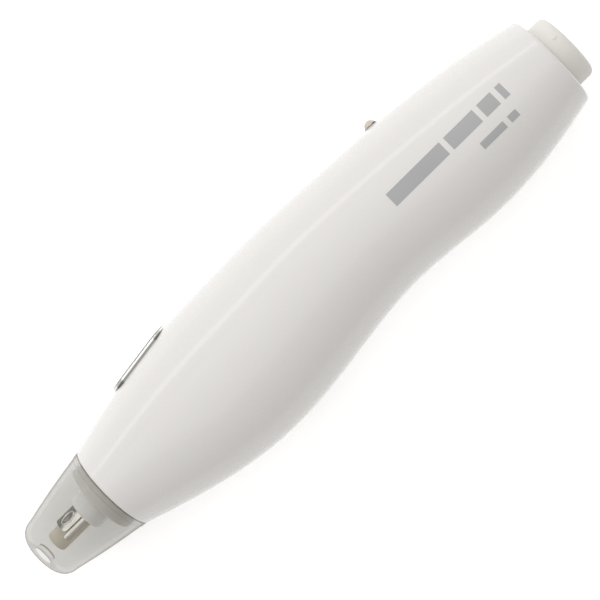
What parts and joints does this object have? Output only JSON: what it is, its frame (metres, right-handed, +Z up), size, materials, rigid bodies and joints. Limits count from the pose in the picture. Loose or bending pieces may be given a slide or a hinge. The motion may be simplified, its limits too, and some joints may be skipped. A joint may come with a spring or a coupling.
{
  "type": "electric eraser",
  "caption": "Slim cordless electric eraser: waisted white body with push button and lamp, clear cap over a chucked eraser refill, and a plugged tail magazine.",
  "frame": {"origin": "centre of the bounding box, on the surface that the eraser lies on (its battery door side down)", "axes": "+X from the cap to the tail, +Y towards the push button, +Z up out of the plain side"},
  "size_m": [0.1496, 0.034, 0.028],
  "materials": {
    "body_white": "glossy moulded ABS",
    "cap_clear": "clear smoky styrene",
    "chrome": "bright plated",
    "eraser": "matte vinyl",
    "plug_ivory": "matte moulded",
    "button_grey": "satin moulded",
    "lamp_clear": "clear epoxy",
    "bronze": "sintered",
    "copper": "bare",
    "magnet": "ferrite",
    "steel": "plated",
    "black_plastic": "moulded",
    "board": "solder mask",
    "cell_sleeve": "printed sleeve without text",
    "seal_rubber": "moulded"
  },
  "bodies": {
    "casing": {"battery_tray": "black_plastic", "body_screw_1": "steel", "body_screw_2": "steel", "body_screw_3": "steel", "body_screw_4": "steel", "body_screw_5": "steel", "button_bezel": "chrome", "cell_a": "cell_sleeve", "cell_b": "cell_sleeve", "contact_jumper": "steel", "contact_spring_a": "steel", "contact_spring_b": "steel", "lamp": "lamp_clear", "lower_shell": "body_white", "magazine": "body_white", "magnet_left": "magnet", "magnet_right": "magnet", "motor_can": "steel", "motor_end_cap": "black_plastic", "motor_tag_minus": "bronze", "motor_tag_plus": "bronze", "nose_bushing": "bronze", "spare_refill_1": "eraser", "spare_refill_2": "eraser", "spare_refill_3": "eraser", "spring_plate_a": "steel", "spring_plate_b": "steel", "switch_board": "board", "switch_body": "black_plastic", "thrust_washer": "steel", "upper_shell": "body_white"},
    "spindle_body": {"spindle": "body_white", "chuck": "chrome", "motor_shaft": "steel", "armature": "copper", "commutator": "copper"},
    "refill_body": {"eraser_refill": "eraser"},
    "button_body": {"button": "button_grey", "switch_plunger": "black_plastic"},
    "cap_body": {"cap": "cap_clear"},
    "plug_body": {"tail_plug": "plug_ivory", "plug_seal": "seal_rubber"},
    "door_body": {"battery_door": "body_white"}
  },
  "joints": [
    {"name": "spindle_spin", "type": "hinge", "parent": "casing", "child": "spindle_body", "pos_m": [-0.0448, 0.00032, 0.014], "axis": [1, 0, 0], "continuous": true},
    {"name": "refill_feed", "type": "slide", "parent": "spindle_body", "child": "refill_body", "axis": [-1, 0, 0], "range_m": [-0.002, 0.002]},
    {"name": "button_press", "type": "slide", "parent": "casing", "child": "button_body", "axis": [0.139, -0.9903, 0], "range_m": [0, 0.0005], "stiffness_N_per_m": 1200},
    {"name": "cap_pull", "type": "slide", "parent": "casing", "child": "cap_body", "axis": [-1, 0, 0], "range_m": [0, 0.03]},
    {"name": "plug_pull", "type": "slide", "parent": "casing", "child": "plug_body", "axis": [1, 0, 0], "range_m": [0, 0.02]},
    {"name": "door_lift", "type": "slide", "parent": "casing", "child": "door_body", "axis": [0, 0, -1], "range_m": [0, 0.012]}
  ]
}
